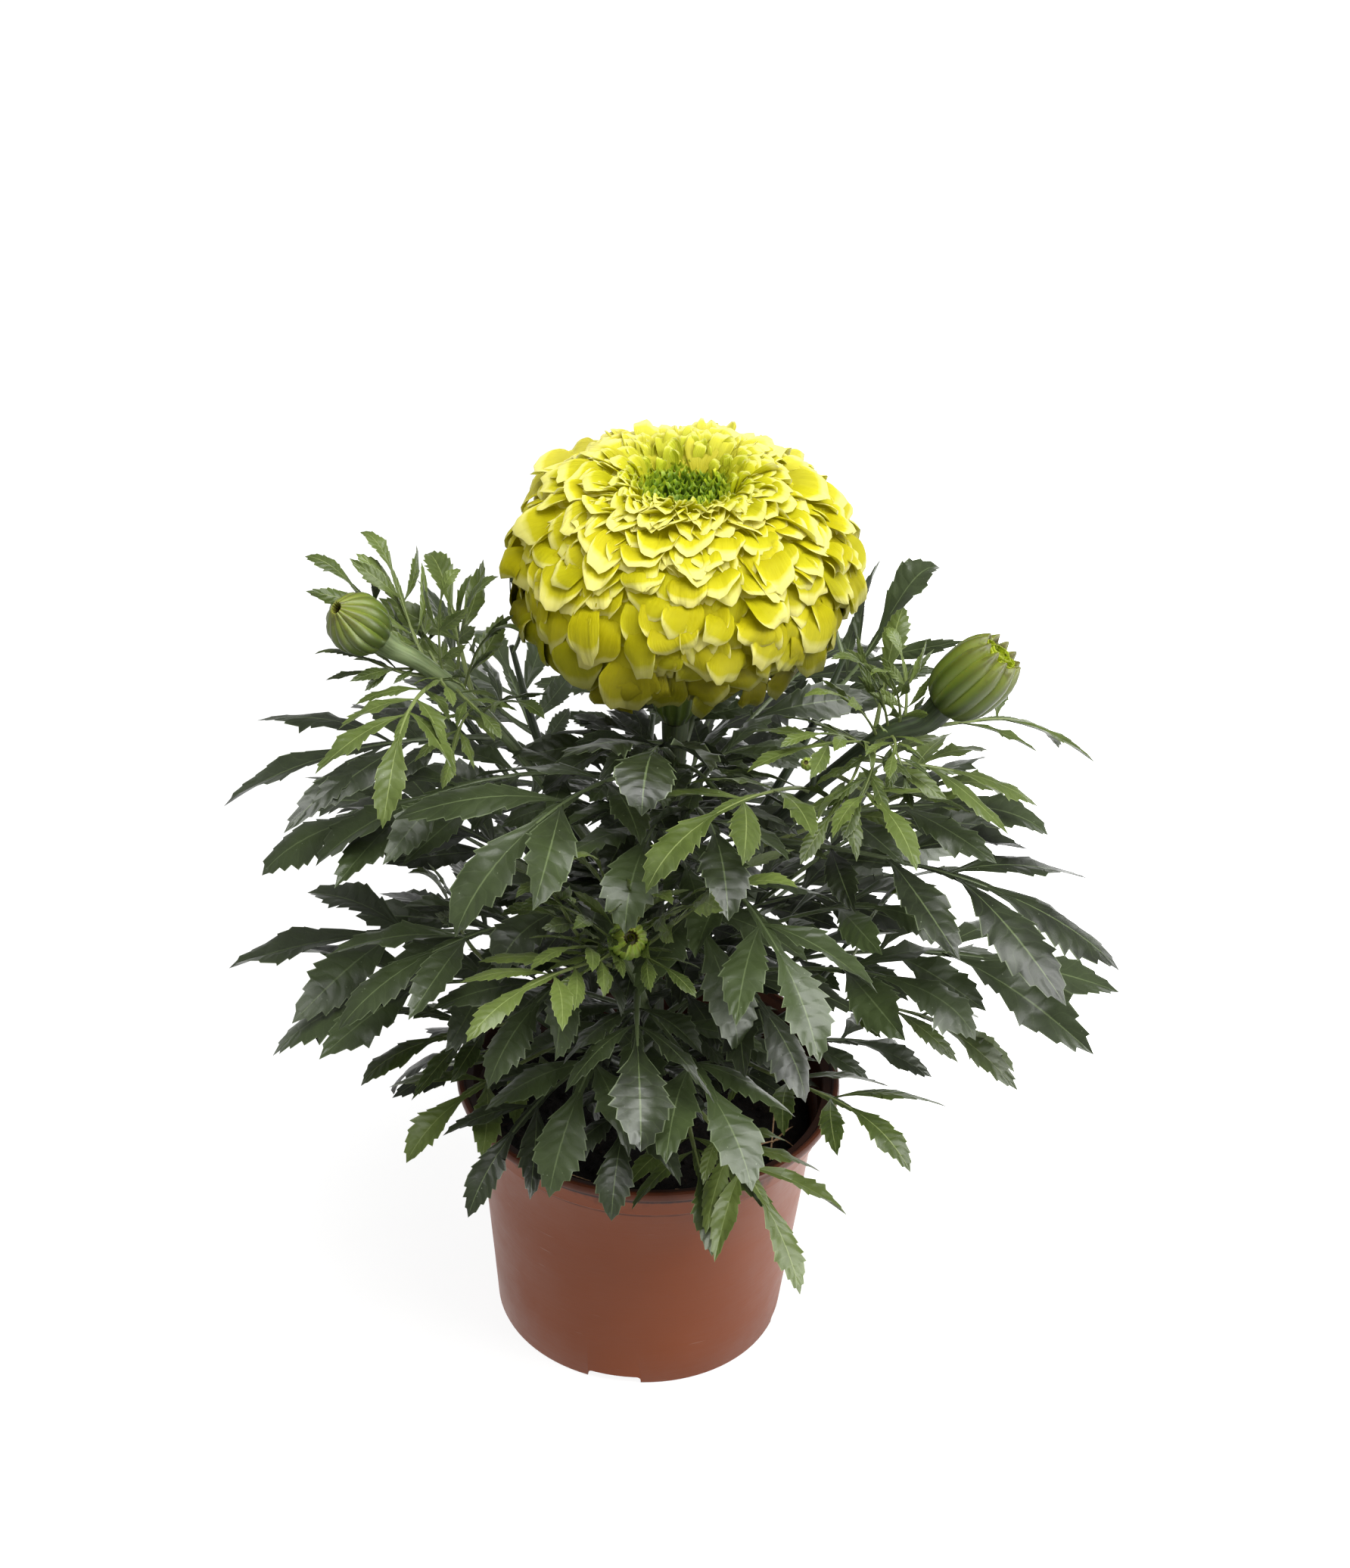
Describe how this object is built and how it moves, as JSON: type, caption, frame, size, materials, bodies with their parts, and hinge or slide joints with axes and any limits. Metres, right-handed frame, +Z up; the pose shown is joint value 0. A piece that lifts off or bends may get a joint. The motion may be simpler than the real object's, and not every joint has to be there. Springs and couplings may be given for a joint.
{
  "type": "potted marigold",
  "caption": "Branching marigold with a large double bloom, closed buds and divided leaves, growing in a round tapered nursery pot of soil; stands on the pot's flat foot.",
  "frame": {"origin": "middle of the pot's underside, on the surface it stands on", "axes": "+Z up the main stem; -Y towards the side the plant is best seen from; +X to the right seen from there"},
  "size_m": [0.275, 0.2329, 0.3067],
  "materials": {
    "terracotta_plastic": "semi-gloss moulded, lightly scuffed",
    "peat_soil": "matt, crumbly, moist",
    "stem": "matt, faintly ribbed, downy",
    "young_growth": "satin",
    "mature_leaf": "satin, veined",
    "petal": "soft matt, ruffled",
    "floret": "soft matt",
    "bract": "satin, ribbed"
  },
  "bodies": {
    "root": {"bloom_cup": "bract", "bloom_florets": "floret", "bloom_petals": "petal", "branch_back": "young_growth", "branch_back_left": "young_growth", "branch_back_right": "young_growth", "branch_front": "young_growth", "branch_left": "young_growth", "branch_low_front": "young_growth", "branch_low_left": "young_growth", "branch_low_right": "young_growth", "branch_right": "young_growth", "bud_front": "bract", "bud_front_petals": "petal", "bud_left": "bract", "bud_right": "bract", "bud_right_petals": "petal", "bud_small": "bract", "leaf_back_1": "mature_leaf", "leaf_back_10": "mature_leaf", "leaf_back_2": "mature_leaf", "leaf_back_3": "mature_leaf", "leaf_back_4": "mature_leaf", "leaf_back_5": "mature_leaf", "leaf_back_6": "mature_leaf", "leaf_back_7": "mature_leaf", "leaf_back_8": "mature_leaf", "leaf_back_9": "mature_leaf", "leaf_front_1": "mature_leaf", "leaf_front_10": "mature_leaf", "leaf_front_11": "mature_leaf", "leaf_front_12": "mature_leaf", "leaf_front_13": "mature_leaf", "leaf_front_14": "mature_leaf", "leaf_front_2": "mature_leaf", "leaf_front_3": "mature_leaf", "leaf_front_4": "mature_leaf", "leaf_front_5": "mature_leaf", "leaf_front_6": "mature_leaf", "leaf_front_7": "mature_leaf", "leaf_front_8": "mature_leaf", "leaf_front_9": "mature_leaf", "leaf_left_1": "mature_leaf", "leaf_left_2": "mature_leaf", "leaf_left_3": "mature_leaf", "leaf_left_4": "mature_leaf", "leaf_left_5": "mature_leaf", "leaf_left_6": "mature_leaf", "leaf_left_7": "mature_leaf", "leaf_left_8": "mature_leaf", "leaf_right_1": "mature_leaf", "leaf_right_2": "mature_leaf", "leaf_right_3": "mature_leaf", "leaf_right_4": "mature_leaf", "leaf_right_5": "mature_leaf", "leaf_right_6": "mature_leaf", "leaf_right_7": "mature_leaf", "pot": "terracotta_plastic", "soil": "peat_soil", "stem_main": "stem"}
  },
  "joints": []
}
